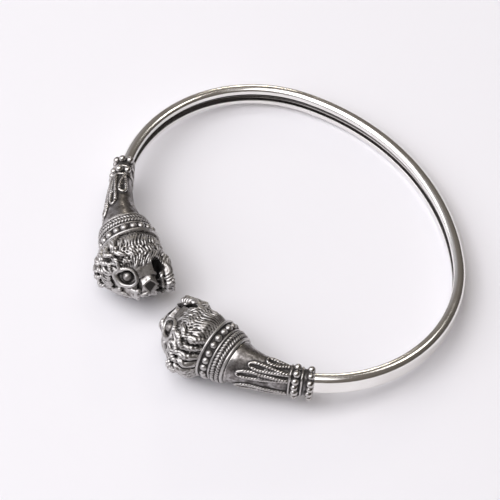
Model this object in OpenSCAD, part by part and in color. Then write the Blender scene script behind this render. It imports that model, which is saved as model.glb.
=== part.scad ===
// Open silver bangle with a lion head on each end.
// Built level, with the middle of the band at height 0 and the gap facing the front, then leaned
// back by the angle at which it rests on its two heads and on the back of the band. Millimetres.

/* [Band] */
// Thickness of the band, from the wrist side to the outside
band_thick = 1.85; // [1.6:0.05:2.2]
// Height of the band
band_height = 3.8; // [3.4:0.1:4.4]
// Radius of the flatter back of the oval, at the middle of the band
back_radius = 37.3; // [34:0.1:42]
// Half of the angle that the back arc covers
back_half_angle = 32.5; // [28:0.5:36]
// Radius of the two sides of the oval, at the middle of the band
side_radius = 22; // [20:0.1:24]
// Rounding of the band's outer edges
outer_round = 0.85; // [0.5:0.05:0.9]
// Rounding of the band's edges on the wrist side
inner_round = 0.45; // [0.2:0.05:0.6]
// Width of the channel along the wrist side
channel_width = 1.5; // [1:0.1:1.8]
// Depth of that channel
channel_depth = 0.8; // [0.3:0.05:1]

/* [Sockets] */
// Angle round the oval, from the back, at which the band enters its socket
mouth_angle = 129.5; // [126:0.5:132]
// Length of the thin tang that goes into the socket
tang_length = 3.4; // [2.5:0.1:3.6]
// Number of grains in the ring at the mouth
mouth_grains = 12; // [10:1:14]
// Number of grains in the second ring
ring_grains = 12; // [10:1:14]
// Radius of these grains
socket_grain = 0.62; // [0.5:0.02:0.66]
// Angle from the outside that the grains reach round the neck, whose wrist side stays smooth
grain_reach = 120; // [110:5:180]
// Number of pairs of filigree tongues, from the outside of the neck round to its wrist side
tongue_pairs = 3; // [2:1:3]
// Thickness of the filigree wire
tongue_wire = 0.46; // [0.36:0.02:0.5]

/* [Collars] */
// Angle round the oval at which the axis of an end becomes straight
straight_angle = 161.5; // [160:0.5:162]
// Number of large grains round a collar
collar_grains = 20; // [18:1:22]
// How far the collars and heads stand outside the oval's line
end_offset = 0.7; // [0:0.1:1]

/* [Lion heads] */
// Number of large locks in the ruff
ruff_locks = 16; // [14:1:20]
// Number of curls in the row behind the face
curls = 12; // [11:1:19]
// Number of small curls on the cheeks
cheek_curls = 8; // [8:1:12]
// Number of tufts in the fringe over the brow
tufts = 7; // [6:1:9]

/* [Fit] */
// Gap between two pieces that meet
gap = 0.06; // [0.04:0.01:0.1]
// Distance from the back of the oval to the middle of the footprint
half_depth = 26.602; // [24:0.001:29]
// Lean of the level bangle when it rests on its heads
rest_lean = 4.458; // [3.8:0.001:4.8]
// Height of the band's middle plane above the floor, at the back of the oval
rest_height = 1.896; // [1.8:0.001:2.4]

/* [Hidden] */
$fn = 48;

// Points round the oval. Angle 0 is the back, 90 the side and 180 the front of the oval.
side_centre = [(back_radius - side_radius) * sin(back_half_angle),
               (back_radius - side_radius) * cos(back_half_angle) - back_radius];
function oval_point(angle) = side_centre + side_radius * [sin(angle), cos(angle)];
function outward(angle) = [sin(angle), cos(angle)];
function arc_angle(length) = mouth_angle + length / side_radius * 180 / PI;

// A superellipse's point at angle t, for half sizes a and b and exponent n
function power_cos(t, n) = sign(cos(t)) * pow(abs(cos(t)), 2 / n);
function power_sin(t, n) = sign(sin(t)) * pow(abs(sin(t)), 2 / n);
function lerp(a, b, t) = a + (b - a) * t;

// The axis of one end: along the oval's arc as far as straight_angle, then straight on.
// out is measured away from the wrist and up is measured upwards, both from that axis.
straight_start = (straight_angle - mouth_angle) * PI / 180 * side_radius;
function on_axis(length, out, up) =
    let (angle = arc_angle(min(length, straight_start)),
         beyond = max(0, length - straight_start),
         spot = oval_point(angle) + out * outward(angle)
                + beyond * [cos(angle), -sin(angle)])
    [spot[0], spot[1], up];

// Sweeps a ring of points through stations into one closed solid
module skin(rings) {
    count = len(rings[0]);
    last = len(rings) - 1;
    polyhedron(
        points = [for (ring = rings) for (p = ring) p],
        faces = concat(
            [[for (k = [0 : count - 1]) k]],
            [for (r = [0 : last - 1]) for (k = [0 : count - 1])
                let (n = (k + 1) % count)
                each [[r * count + k, (r + 1) * count + k, (r + 1) * count + n],
                      [r * count + k, (r + 1) * count + n, r * count + n]]],
            [[for (k = [count - 1 : -1 : 0]) last * count + k]]));
}

// The band's section: rounded bars with a channel along the wrist side, at [out, up]
module rounded_bar(thick, height) {
    x = thick / 2;
    y = height / 2;
    union() {
        translate([-x, -y + inner_round]) square([thick / 2 + 0.01, height - 2 * inner_round]);
        translate([-x + inner_round, -y]) square([thick - inner_round - outer_round, height]);
        translate([0, -y + outer_round]) square([x, height - 2 * outer_round]);
        for (s = [-1, 1]) {
            translate([x - outer_round, s * (y - outer_round)]) circle(outer_round);
            translate([-x + inner_round, s * (y - inner_round)]) circle(inner_round);
        }
    }
}

channel_start = band_thick;
module band_section(inset = 0) {
    difference() {
        rounded_bar(band_thick - 2 * inset, band_height - 2 * inset);
        translate([-channel_start, -channel_width / 2 - inset])
            square([channel_start - band_thick / 2 + channel_depth + inset,
                    channel_width + 2 * inset]);
    }
}

module bent_bar(radius, from, to) {
    rotate([0, 0, 90 - to]) rotate_extrude(angle = to - from) translate([radius, 0]) children();
}

// Each side arc runs a little way into the back arc and is a hair smaller, so that the two join
arc_step = 0.01;
tang_thick = 1.3;
tang_height = 3;
tang_angle = arc_angle(tang_length);
module band() {
    color("gainsboro") resting() {
        translate([0, -back_radius, 0]) bent_bar(back_radius, -back_half_angle, back_half_angle)
            band_section();
        for (side = [0, 1]) mirror([side, 0, 0]) translate(side_centre) {
            bent_bar(side_radius, back_half_angle - 1, arc_angle(-gap)) band_section(arc_step);
            bent_bar(side_radius, mouth_angle - 1, tang_angle)
                square([tang_thick, tang_height], center = true);
        }
    }
}

// The neck in sections. Columns: distance from the mouth, half thickness, half height, exponent,
// distance of its middle outside the oval's line as a share of end_offset
neck_sections = [
    [0, 1.4, 2.4, 3.4, 0],
    [1.3, 1.4, 2.4, 3.4, 0],
    [3.9, 1.55, 2.65, 2.9, 0],
    [6.5, 1.95, 3, 2.5, 0.15],
    [9, 2.35, 3.3, 2.2, 0.5],
    [11, 3.05, 3.55, 2, 0.85],
    [12.3, 3.6, 3.7, 2, 1]];
neck_end = neck_sections[len(neck_sections) - 1][0];
function section_at(length, row = 0) =
    row >= len(neck_sections) - 2 || length <= neck_sections[row + 1][0]
        ? lerp(neck_sections[row], neck_sections[row + 1],
               (length - neck_sections[row][0])
               / (neck_sections[row + 1][0] - neck_sections[row][0]))
        : section_at(length, row + 1);
function neck_point(length, t, proud = 0) =
    let (s = section_at(length))
    on_axis(length, end_offset * s[4] + (s[1] + proud) * power_cos(t, s[3]),
            (s[2] + proud) * power_sin(t, s[3]));

neck_sides = 12;
neck_stations = [0, 2.6, 4.2, 5.8, 7.4, 9, 10.2, 11.3, 12.3];
module neck_body() {
    skin([for (s = neck_stations)
        [for (k = [0 : neck_sides - 1]) neck_point(s, k * 360 / neck_sides)]]);
}

// A plain wire laid round the neck
module neck_wire(length, wire) {
    skin([for (step = [[-wire, 0], [-wire / 2, wire * 0.8], [wire / 2, wire * 0.8], [wire, 0]])
        [for (k = [0 : neck_sides - 1])
            neck_point(length + step[0], k * 360 / neck_sides, step[1])]]);
}

// A row of grains round the neck
grain_sides = 6;
module neck_grains(length, count, size) {
    for (k = [0 : count - 1]) if (cos((k + 0.5) * 360 / count) > cos(grain_reach))
        hull() translate(neck_point(length, (k + 0.5) * 360 / count, size * 0.3))
            sphere(size, $fn = grain_sides);
}

// A filigree tongue: a long loop of wire on the neck, narrow at its root and round at its tip.
// Columns: angle round the neck of its middle, length, half width at the tip in degrees
tongue_root = 4;
tongue_table = [[25, 6.8, 13], [60, 5.6, 14], [96, 3.6, 13]];
tongue_steps = 8;
wire_sides = 4;
// Half width of a tongue at its root, as a share of that at its tip, and the swell of its tip
root_share = 0.35;
tip_swell = 1.15;
wire_lift = 0.05;
function unit(v) = v / norm(v);
function tongue_spot(row, step, lift) =
    let (turn = step * 360 / tongue_steps,
         along = (1 - cos(turn)) / 2,
         swell = sin(turn) * lerp(root_share, 1, along))
    neck_point(tongue_root + row[1] * along, row[0] + row[2] * swell * tip_swell, lift);
function tongue_ring(row, step) =
    let (spot = tongue_spot(row, step, wire_lift),
         ahead = unit(tongue_spot(row, step + 1, wire_lift)
                      - tongue_spot(row, step - 1, wire_lift)),
         side = unit(cross(ahead, tongue_spot(row, step, 1) - spot)),
         rise = cross(side, ahead))
    [for (k = [0 : wire_sides - 1])
        spot + tongue_wire / 2 * (rise * cos(k * 360 / wire_sides)
                                  + side * sin(k * 360 / wire_sides))];
module tongue(row) {
    polyhedron(
        points = [for (step = [0 : tongue_steps - 1]) each tongue_ring(row, step)],
        faces = [for (step = [0 : tongue_steps - 1]) for (k = [0 : wire_sides - 1])
            let (a = step * wire_sides,
                 b = (step + 1) % tongue_steps * wire_sides,
                 n = (k + 1) % wire_sides)
            each [[a + k, b + k, b + n], [a + k, b + n, a + n]]]);
}

peg_radius = 1.5;
module socket() {
    difference() {
        union() {
            neck_body();
            neck_grains(0.55, mouth_grains, socket_grain);
            neck_wire(1.85, 0.2);
            neck_grains(2.72, ring_grains, socket_grain);
            neck_wire(3.6, 0.2);
            for (below = [0, 1]) mirror([0, 0, below])
                for (k = [0 : tongue_pairs - 1]) tongue(tongue_table[k]);
            along_straight() translate([0, 0, neck_end - straight_start - 1])
                cylinder(r = peg_radius, h = 2.4, $fn = 16);
        }
        translate(side_centre) bent_bar(side_radius, mouth_angle - 2, tang_angle + 0.4)
            square([tang_thick + 2 * gap, tang_height + 2 * gap], center = true);
    }
}

// Puts children, with z along the straight end of the axis, x outwards and y up, in place
module along_straight() {
    translate(oval_point(straight_angle)) rotate([0, 0, 90 - straight_angle]) rotate([90, 0, 0])
        translate([end_offset, 0, 0]) children();
}

// The collar: a cone with wires and a row of grains laid round it
collar_start = neck_end - straight_start + gap;
collar_length = 4.3;
collar_low = 3.65;
collar_high = 4.75;
function collar_radius(z) = lerp(collar_low, collar_high, z / collar_length);
module collar_ring(z, wire) {
    rotate_extrude() translate([collar_radius(z) - wire * 0.3, z]) circle(wire, $fn = 24);
}
// Columns: distance from the collar's start, wire radius
collar_wires = [[0.3, 0.3], [0.95, 0.32], [1.6, 0.32], [2.2, 0.22], [4.05, 0.26]];
grain_row = 3.1;
grain_size = 0.62;
module collar() {
    along_straight() translate([0, 0, collar_start]) difference() {
        union() {
            cylinder(h = collar_length, r1 = collar_low, r2 = collar_high);
            for (row = collar_wires) collar_ring(row[0], row[1]);
            for (k = [0 : collar_grains - 1]) rotate([0, 0, (k + 0.5) * 360 / collar_grains])
                translate([collar_radius(grain_row) - 0.12, 0, grain_row]) sphere(grain_size);
        }
        translate([0, 0, -1]) cylinder(r = peg_radius + gap, h = collar_length + 2);
    }
}

// The lion head, with x outwards from the wrist, y up and z along the axis towards the face.
// The crown is on the outside, the jaw on the wrist side, and the face is even above and below.
head_start = collar_start + collar_length + gap;
module blob(spot, size, n = 6) {
    translate(spot) sphere(size, $fn = n);
}
module link(a, ra, b, rb, n = 6) {
    hull() {
        blob(a, ra, n);
        blob(b, rb, n);
    }
}
module both() {
    children();
    mirror([0, 1, 0]) children();
}

// The mane without its locks. Columns: z, middle in x, half size in x, half size in y
mane_sections = [
    [0, 0.1, 4.2, 4.4],
    [1.35, 0.5, 4.75, 5],
    [3.15, 0.5, 4.85, 4.95],
    [4.75, 0.1, 4.55, 4.4],
    [6.15, -0.5, 3.8, 3.5],
    [7.2, -1, 3.15, 2.6]];
function mane_at(z, row = 0) =
    row >= len(mane_sections) - 2 || z <= mane_sections[row + 1][0]
        ? lerp(mane_sections[row], mane_sections[row + 1],
               (z - mane_sections[row][0]) / (mane_sections[row + 1][0] - mane_sections[row][0]))
        : mane_at(z, row + 1);
function mane_point(z, t, proud = 0) =
    let (s = mane_at(z))
    [s[1] + (s[2] + proud) * cos(t), (s[3] + proud) * sin(t), z];

mane_sides = 16;
module mane_core() {
    skin([for (row = mane_sections)
        [for (k = [0 : mane_sides - 1]) mane_point(row[0], k * 360 / mane_sides)]]);
}

// The locks of the mane: the ruff, the curls behind the face and on the cheeks, and the fringe.
// Columns: z, turn towards the crown, height above the mane, radius
ruff_lock = [[0.6, 0, -0.1, 0.5], [1.45, 4, 0.05, 0.66], [2.7, 10, 0, 0.46]];
curl = [[3.6, 0, 0.05, 0.56], [4.6, 8, 0, 0.46]];
cheek_curl = [[5.2, 0, 0, 0.5], [5.9, 5, 0.05, 0.4]];
tuft = [[2.3, 0, 0.1, 0.5], [3.7, 0, 0.5, 0.5], [4.6, 0, 0.3, 0.36]];
lock_sides = 5;
function to_crown(t) = t < 180 ? -1 : 1;
function lock_spot(row, t) = mane_point(row[0], t + row[1] * to_crown(t), row[2]);
module lock(t, rows) {
    for (k = [1 : len(rows) - 1])
        link(lock_spot(rows[k - 1], t), rows[k - 1][3], lock_spot(rows[k], t), rows[k][3], lock_sides);
}

// The locks' angles round the head, from the crown
curl_from = 44;
cheek_from = 68;
tuft_from = -52;
module locks(rows, count, from, to) {
    for (k = [0 : count - 1]) lock(lerp(from, to, k / (count - 1)), rows);
}

// The ring of brow and cheekbone round an eye
eye_ring = [[4.1, 1.95, 5.2], [2.6, 3.1, 5.6], [1.4, 2.85, 6.7], [1.15, 2.15, 7.8],
            [2.2, 1.25, 7.75], [3.7, 1.05, 6.9]];
eye_ring_wire = 0.36;
// The corners of a whisker pad, which is flat on its side and on its front
pad_corners = [[0.6, 2.3, 5.9], [-1.3, 2.35, 6.2], [-0.85, 2.05, 7.75], [0.35, 1.4, 8.2],
               [-1.7, 1.25, 8.3], [-0.5, 0.1, 8.95], [-1.5, 0.2, 8.4], [0.8, 0.3, 6]];
pad_round = 0.2;
cheek = [0.5, 2.4, 5.4];
cheek_size = 1.35;
// The corners of the flat bridge of the nose
bridge_corners = [[3.1, 0.5, 6.3], [1.75, 0.45, 8.6], [1, 0.4, 6.5]];
bridge_round = 0.3;
forehead = [1.6, 0, 5.2];
forehead_size = 2.5;
brow = [2.4, 0, 5.9];
brow_size = 1.7;
nostril = [1.4, 0.75, 8.8];
nose_tip = [1.65, 0, 8.95];
nose_size = 0.42;
module face() {
    link(forehead, forehead_size, brow, brow_size, 7);
    hull() both() for (corner = bridge_corners) blob(corner, bridge_round);
    hull() {
        both() blob(nostril, nose_size);
        blob(nose_tip, nose_size);
    }
    both() {
        hull() for (corner = pad_corners) blob(corner, pad_round);
        blob(cheek, cheek_size);
        for (k = [0 : len(eye_ring) - 1])
            link(eye_ring[k], eye_ring_wire, eye_ring[(k + 1) % len(eye_ring)], eye_ring_wire, 5);
    }
}

eye = [2.45, 2.3, 6.5];
eye_size = 0.75;
eye_hollow = 0.95;
eye_step = [0, 0.3, 0.3];

// The bars of the jaw, of the lip on it and of the beard under it, above the middle and as
// mirror images below it. Columns: start, its radius, end, its radius
jaw_bars = [
    [[-3.9, 1.9, 4.6], 0.95, [-4.05, 1.45, 6.8], 0.82],
    [[-4.05, 1.45, 6.8], 0.82, [-3.95, 0.75, 8.3], 0.68],
    [[-3.9, 0, 4.8], 1.1, [-4, 0, 8], 0.8],
    [[-3.1, 1.85, 6.2], 0.26, [-3.1, 0.7, 8.5], 0.26],
    [[-4.45, 1, 4.4], 0.5, [-4.6, 0.5, 8.6], 0.32]];
module jaw() {
    both() for (row = jaw_bars) link(row[0], row[1], row[2], row[3]);
}

// The mouth: the pierced corners, and the slit between the lips.
// Columns: end nearer the mane, end nearer the nose, radius
mouth_cuts = [
    [[-2.3, 4.2, 5.65], [-2.5, 4.2, 6.7], 0.88],
    [[-2.4, 3.4, 6.6], [-2.35, 2.6, 9.8], 0.4]];
module mouth_hollow() {
    for (row = mouth_cuts) hull() both() for (spot = [row[0], row[1]]) blob(spot, row[2]);
}

module lion_head() {
    along_straight() translate([0, 0, head_start]) {
        difference() {
            union() {
                mane_core();
                for (k = [0 : ruff_locks - 1]) lock((k + 0.5) * 360 / ruff_locks, ruff_lock);
                locks(curl, curls, curl_from, 360 - curl_from);
                locks(cheek_curl, cheek_curls, cheek_from, 360 - cheek_from);
                locks(tuft, tufts, tuft_from, -tuft_from);
                face();
            }
            mouth_hollow();
            both() blob(eye + eye_step, eye_hollow);
        }
        both() blob(eye, eye_size, 8);
        jaw();
        translate([0, 0, -1.7]) cylinder(r = peg_radius, h = 2.7, $fn = 16);
    }
}

// Leans the level bangle to the angle at which it rests, with the footprint's middle at x, y = 0
module resting() {
    translate([0, half_depth, rest_height]) rotate([-rest_lean, 0, 0]) children();
}
module left() {
    mirror([1, 0, 0]) children();
}

band();
color("darkgray") resting() socket();  // socket_right
color("darkgray") resting() left() socket();  // socket_left
color("gray") resting() collar();  // collar_right
color("gray") resting() left() collar();  // collar_left
color("silver") resting() lion_head();  // lion_head_right
color("silver") resting() left() lion_head();  // lion_head_left
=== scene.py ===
"""Looks of an open silver bangle: polished band, filigree necks, beaded collars and lion heads.

Shapes are worked out in millimetres, in the frame of the level bangle (back of the band at the
origin, gap towards -Y, height 0 at the middle of the band). They are then leaned to the angle at
which the bangle rests.
"""

from __future__ import annotations

import logging
import math
from collections.abc import Sequence
from dataclasses import dataclass, field
from enum import Enum

import bmesh
import bpy
import numpy as np
from bpy.types import ID, Material, Mesh, Node, NodeInputs, NodeSocket, NodeTree, Object
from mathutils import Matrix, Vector

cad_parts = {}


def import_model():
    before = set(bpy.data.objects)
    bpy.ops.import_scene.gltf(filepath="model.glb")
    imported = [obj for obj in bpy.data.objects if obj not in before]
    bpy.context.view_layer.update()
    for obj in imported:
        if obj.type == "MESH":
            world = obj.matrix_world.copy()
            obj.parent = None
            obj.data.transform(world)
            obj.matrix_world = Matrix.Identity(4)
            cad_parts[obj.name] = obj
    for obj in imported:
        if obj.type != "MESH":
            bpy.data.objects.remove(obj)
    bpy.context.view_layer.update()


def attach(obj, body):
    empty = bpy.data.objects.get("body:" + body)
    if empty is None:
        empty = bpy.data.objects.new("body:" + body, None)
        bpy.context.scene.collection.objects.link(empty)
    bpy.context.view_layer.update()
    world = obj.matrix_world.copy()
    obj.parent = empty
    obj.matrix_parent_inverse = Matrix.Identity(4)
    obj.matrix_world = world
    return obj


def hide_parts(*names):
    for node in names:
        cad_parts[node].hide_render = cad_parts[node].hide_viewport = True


LOG = logging.getLogger("bangle")
MM = 0.001
# Points round the smooth core under a piece's ornament
CORE_SIDES = 72
# How strongly small grooves and wide hollows show in the tarnish
FINE_GAIN, WIDE_GAIN = 4.2, 1.5


class Side(Enum):
    """The two ends of the bangle, which are mirror images of each other."""

    RIGHT = 1
    LEFT = -1


# The bangle's lines


@dataclass(frozen=True)
class Rest:
    """How the level bangle leans when it rests on its two heads and on the back of the band."""

    lean: float = 4.458
    half_depth: float = 26.602
    height: float = 1.896

    def to_row(self, points: np.ndarray, side: Side = Side.RIGHT) -> np.ndarray:
        """Moves points from the level frame to the row frame.

        Args:
            points: N by 3 points in millimetres, for the right-hand side.
            side: the side that they belong to.

        Returns:
            N by 3 points in metres.
        """
        turn = math.radians(-self.lean)
        x, y, z = points[:, 0] * side.value, points[:, 1], points[:, 2]
        leaned_y = y * math.cos(turn) - z * math.sin(turn) + self.half_depth
        leaned_z = y * math.sin(turn) + z * math.cos(turn) + self.height
        return np.stack([x, leaned_y, leaned_z], axis=1) * MM


@dataclass(frozen=True)
class Oval:
    """The bangle's middle line seen from above: a flatter back arc and two tighter side arcs."""

    back_radius: float = 37.3
    back_half_angle: float = 32.5
    side_radius: float = 22.0

    def side_centre(self) -> tuple[float, float]:
        """Returns the centre of the right-hand side arc."""
        reach, angle = self.back_radius - self.side_radius, math.radians(self.back_half_angle)
        return reach * math.sin(angle), reach * math.cos(angle) - self.back_radius

    def spot(self, angle: np.ndarray) -> np.ndarray:
        """Finds points on the oval.

        Args:
            angle: degrees round the oval; 0 is the back, 90 the right side and -90 the left side.

        Returns:
            N by 2 points.
        """
        turn = np.radians(np.abs(angle))
        cx, cy = self.side_centre()
        back = np.abs(angle) <= self.back_half_angle
        x = np.where(back, self.back_radius * np.sin(turn), cx + self.side_radius * np.sin(turn))
        y = np.where(
            back, self.back_radius * (np.cos(turn) - 1), cy + self.side_radius * np.cos(turn)
        )
        return np.stack([x * np.sign(angle), y], axis=1)

    def outward(self, angle: np.ndarray) -> np.ndarray:
        """Returns the outward directions at those angles."""
        turn = np.radians(angle)
        return np.stack([np.sin(turn), np.cos(turn)], axis=1)


@dataclass(frozen=True)
class EndAxis:
    """The axis of the right-hand end: along the oval from the socket's mouth, then straight on."""

    oval: Oval = Oval()
    mouth_angle: float = 129.5
    straight_angle: float = 161.5
    offset: float = 0.7
    gap: float = 0.06
    neck_end: float = 12.3
    collar_length: float = 4.3

    @property
    def straight_start(self) -> float:
        """Length along the axis at which it becomes straight."""
        return math.radians(self.straight_angle - self.mouth_angle) * self.oval.side_radius

    @property
    def collar_start(self) -> float:
        """Length along the axis at which the collar starts."""
        return self.neck_end + self.gap

    @property
    def head_start(self) -> float:
        """Length along the axis at which the head starts."""
        return self.collar_start + self.collar_length + self.gap

    def level(self, local: np.ndarray) -> np.ndarray:
        """Moves points from the end's own coordinates to the level frame.

        Args:
            local: N by 3 points: length along the axis, distance outwards, and height.

        Returns:
            N by 3 points of the right-hand end.
        """
        length, out, up = local[:, 0], local[:, 1], local[:, 2]
        along = np.minimum(length, self.straight_start)
        beyond = (length - along)[:, None]
        angle = self.mouth_angle + np.degrees(along / self.oval.side_radius)
        outward = self.oval.outward(angle)
        forward = np.stack([outward[:, 1], -outward[:, 0]], axis=1)
        flat = self.oval.spot(angle) + out[:, None] * outward + beyond * forward
        return np.column_stack([flat, up])

    def from_straight(self, points: np.ndarray, start: float) -> np.ndarray:
        """Moves points (out, up, forward from a start on the axis) to the level frame."""
        local = np.column_stack([points[:, 2] + start, points[:, 0] + self.offset, points[:, 1]])
        return self.level(local)


# Numbers and paths

Spots = Sequence[Sequence[float]]


def lerp(a: float, b: float, share: float) -> float:
    """Returns the value that lies share of the way from a to b."""
    return a + (b - a) * share


def fade(values: np.ndarray, edge: float, width: float) -> np.ndarray:
    """Returns 0 where values are over edge, rising to 1 where they are a width under it."""
    return np.clip((edge - values) / width, 0, 1)


def distances(path: np.ndarray) -> np.ndarray:
    """Returns how far along a path each of its points lies."""
    return np.concatenate([[0], np.cumsum(np.linalg.norm(np.diff(path, axis=0), axis=1))])


def headings(path: np.ndarray) -> np.ndarray:
    """Returns the direction of a path at each of its points."""
    ahead = np.gradient(path, axis=0)
    return ahead / np.linalg.norm(ahead, axis=1)[:, None]


def points_at(places: np.ndarray, keys: np.ndarray, path: Spots) -> np.ndarray:
    """Returns points of a path at places between the keys of its own points."""
    return np.column_stack([np.interp(places, keys, column) for column in np.array(path).T])


def section_values(
    sections: Sequence[object], key: str, places: np.ndarray, names: Sequence[str]
) -> list[np.ndarray]:
    """Returns each named value of a piece's sections at places measured by their key."""
    keys = [getattr(s, key) for s in sections]
    return [np.interp(places, keys, [getattr(s, name) for s in sections]) for name in names]


# Metal that is fused from shells

Shell = tuple[np.ndarray, list[tuple[int, ...]]]


def ball_shell(centre: Sequence[float], radii: Sequence[float], detail: int) -> Shell:
    """Makes a closed ellipsoid.

    Args:
        centre: its centre.
        radii: its half sizes along the three axes.
        detail: subdivisions of the icosphere.

    Returns:
        Its points and faces.
    """
    bm = bmesh.new()
    bmesh.ops.create_icosphere(bm, subdivisions=detail, radius=1.0)
    points = np.array([v.co[:] for v in bm.verts]) * np.array(radii) + np.array(centre)
    faces = [tuple(v.index for v in f.verts) for f in bm.faces]
    bm.free()
    return points, faces


def tube_shell(path: np.ndarray, radius: np.ndarray | float, sides: int) -> Shell:
    """Sweeps a round wire along a path and closes both of its ends.

    Args:
        path: N by 3 points.
        radius: one radius, or one for each point.
        sides: sides of the wire.

    Returns:
        Its points and faces.
    """
    path = np.asarray(path, float)
    count = len(path)
    sizes = np.broadcast_to(np.asarray(radius, float), (count,))
    ahead = headings(path)
    # The wire's first side is square to a direction that no wire starts along
    side = np.cross(ahead[0], [0.31, 0.52, 0.79])
    across = np.empty_like(ahead)
    for k, tangent in enumerate(ahead):
        side = side - tangent * side.dot(tangent)
        side /= np.linalg.norm(side)
        across[k] = side
    rise = np.cross(ahead, across)
    turn = np.linspace(0, 2 * math.pi, sides, endpoint=False)[None, :, None]
    ring = across[:, None] * np.cos(turn) + rise[:, None] * np.sin(turn)
    points = path[:, None] + ring * sizes[:, None, None]
    tips = np.array([path[0] - ahead[0] * sizes[0] * 0.6, path[-1] + ahead[-1] * sizes[-1] * 0.6])
    return close_rings(points, tips)


def close_rings(rings: np.ndarray, tips: np.ndarray | None = None) -> Shell:
    """Joins rings of points into a closed shell.

    Args:
        rings: M by N by 3 points.
        tips: the two end points, or None for the middle of each end ring.

    Returns:
        Its points and faces.
    """
    rows, count = rings.shape[:2]
    if tips is None:
        tips = np.array([rings[0].mean(axis=0), rings[-1].mean(axis=0)])
    points = np.concatenate([rings.reshape(-1, 3), tips])
    first, last = rows * count, rows * count + 1
    faces: list[tuple[int, ...]] = []
    for k in range(count):
        n = (k + 1) % count
        faces.append((first, n, k))
        faces.append((last, (rows - 1) * count + k, (rows - 1) * count + n))
        for r in range(rows - 1):
            faces.append((r * count + k, r * count + n, (r + 1) * count + n, (r + 1) * count + k))
    return points, faces


def loop_shell(path: np.ndarray, radius: float, sides: int) -> Shell:
    """Sweeps a round wire along a closed path.

    Args:
        path: N by 3 points, the first not repeated.
        radius: the wire's radius.
        sides: sides of the wire.

    Returns:
        Its points and faces.
    """
    doubled = np.concatenate([path, path[:3]])
    points, _ = tube_shell(doubled, radius, sides)
    count = len(path) + 3
    rings = points[: count * sides].reshape(count, sides, 3)
    return close_rings(rings)


class Casting:
    """Collects closed shells and fuses them into one skin of metal."""

    def __init__(self, name: str) -> None:
        """Starts an empty casting called name."""
        self.name = name
        self.points: list[np.ndarray] = []
        self.faces: list[tuple[int, ...]] = []
        self.count = 0

    def add(self, shell: Shell) -> None:
        """Adds one closed shell."""
        points, faces = shell
        self.faces.extend(tuple(i + self.count for i in face) for face in faces)
        self.points.append(points)
        self.count += len(points)

    def ball(
        self, centre: Sequence[float], size: float | Sequence[float], detail: int = 3
    ) -> None:
        """Adds a ball, or an ellipsoid when size has three values."""
        radii = (size, size, size) if isinstance(size, (int, float)) else size
        self.add(ball_shell(centre, radii, detail))

    def link(
        self,
        spots: Spots,
        sizes: Sequence[float],
        steps: int = 6,
        rounding: int = 2,
    ) -> None:
        """Adds a rounded bar through a few spots.

        Args:
            spots: the spots, in order.
            sizes: the bar's radius at each of them.
            steps: points along each stretch.
            rounding: how many times its line is smoothed.
        """
        keys = np.arange(len(spots))
        fine = np.linspace(0, len(spots) - 1, (len(spots) - 1) * steps + 1)
        path = points_at(fine, keys, spots)
        radius = np.interp(fine, keys, sizes)
        for _ in range(rounding):
            path[1:-1] = (path[:-2] + 2 * path[1:-1] + path[2:]) / 4
        self.add(tube_shell(path, radius, 14))
        self.ball(path[0], float(radius[0]))
        self.ball(path[-1], float(radius[-1]))

    def mesh(self) -> Mesh:
        """Returns the collected shells as one mesh."""
        mesh = bpy.data.meshes.new(self.name)
        mesh.from_pydata(np.concatenate(self.points).tolist(), [], self.faces)
        mesh.update()
        return mesh

    def fuse(self, voxel: float) -> Mesh:
        """Returns the shells fused into one closed skin on a grid of a size."""
        return through_modifier(self.mesh(), "REMESH", mode="VOXEL", voxel_size=voxel)


def new_object(name: str, data: ID) -> Object:
    """Adds an object that holds a mesh, a lamp or a lens to the scene."""
    made = bpy.data.objects.new(name, data)
    bpy.context.scene.collection.objects.link(made)
    return made


def through_modifier(mesh: Mesh, kind: str, **settings: object) -> Mesh:
    """Puts a mesh through one modifier.

    Args:
        mesh: the mesh, which is removed.
        kind: the modifier's type.
        settings: the modifier's settings.

    Returns:
        The new mesh.
    """
    holder = new_object("through", mesh)
    modifier = holder.modifiers.new("step", kind)
    for key, value in settings.items():
        setattr(modifier, key, value)
    evaluated = holder.evaluated_get(bpy.context.evaluated_depsgraph_get())
    made = bpy.data.meshes.new_from_object(evaluated)
    bpy.data.objects.remove(holder)
    bpy.data.meshes.remove(mesh)
    return made


def read_points(mesh: Mesh) -> np.ndarray:
    """Returns a mesh's points."""
    flat = np.empty(len(mesh.vertices) * 3)
    mesh.vertices.foreach_get("co", flat)
    return flat.reshape(-1, 3)


def read_normals(mesh: Mesh) -> np.ndarray:
    """Returns a mesh's point normals."""
    flat = np.empty(len(mesh.vertices) * 3)
    mesh.vertex_normals.foreach_get("vector", flat)
    return flat.reshape(-1, 3)


def write_points(mesh: Mesh, points: np.ndarray) -> None:
    """Gives a mesh new points."""
    mesh.vertices.foreach_set("co", points.astype(np.float32).ravel())
    mesh.update()


class Smoother:
    """Averages values over the neighbours of a mesh's points."""

    def __init__(self, mesh: Mesh) -> None:
        """Reads the mesh's edges."""
        edges = np.empty(len(mesh.edges) * 2, dtype=np.int64)
        mesh.edges.foreach_get("vertices", edges)
        pairs = edges.reshape(-1, 2)
        self.near = np.concatenate([pairs[:, 0], pairs[:, 1]])
        self.far = np.concatenate([pairs[:, 1], pairs[:, 0]])
        self.size = len(mesh.vertices)
        self.degree = np.maximum(np.bincount(self.near, minlength=self.size), 1)

    def once(self, values: np.ndarray) -> np.ndarray:
        """Returns the values averaged with those of the neighbours."""
        columns = [
            np.bincount(self.near, weights=values[self.far, i], minlength=self.size) / self.degree
            for i in range(values.shape[1])
        ]
        return (values + np.stack(columns, axis=1)) / 2

    def times(self, values: np.ndarray, count: int) -> np.ndarray:
        """Returns the values averaged count times."""
        for _ in range(count):
            values = self.once(values)
        return values


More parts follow.
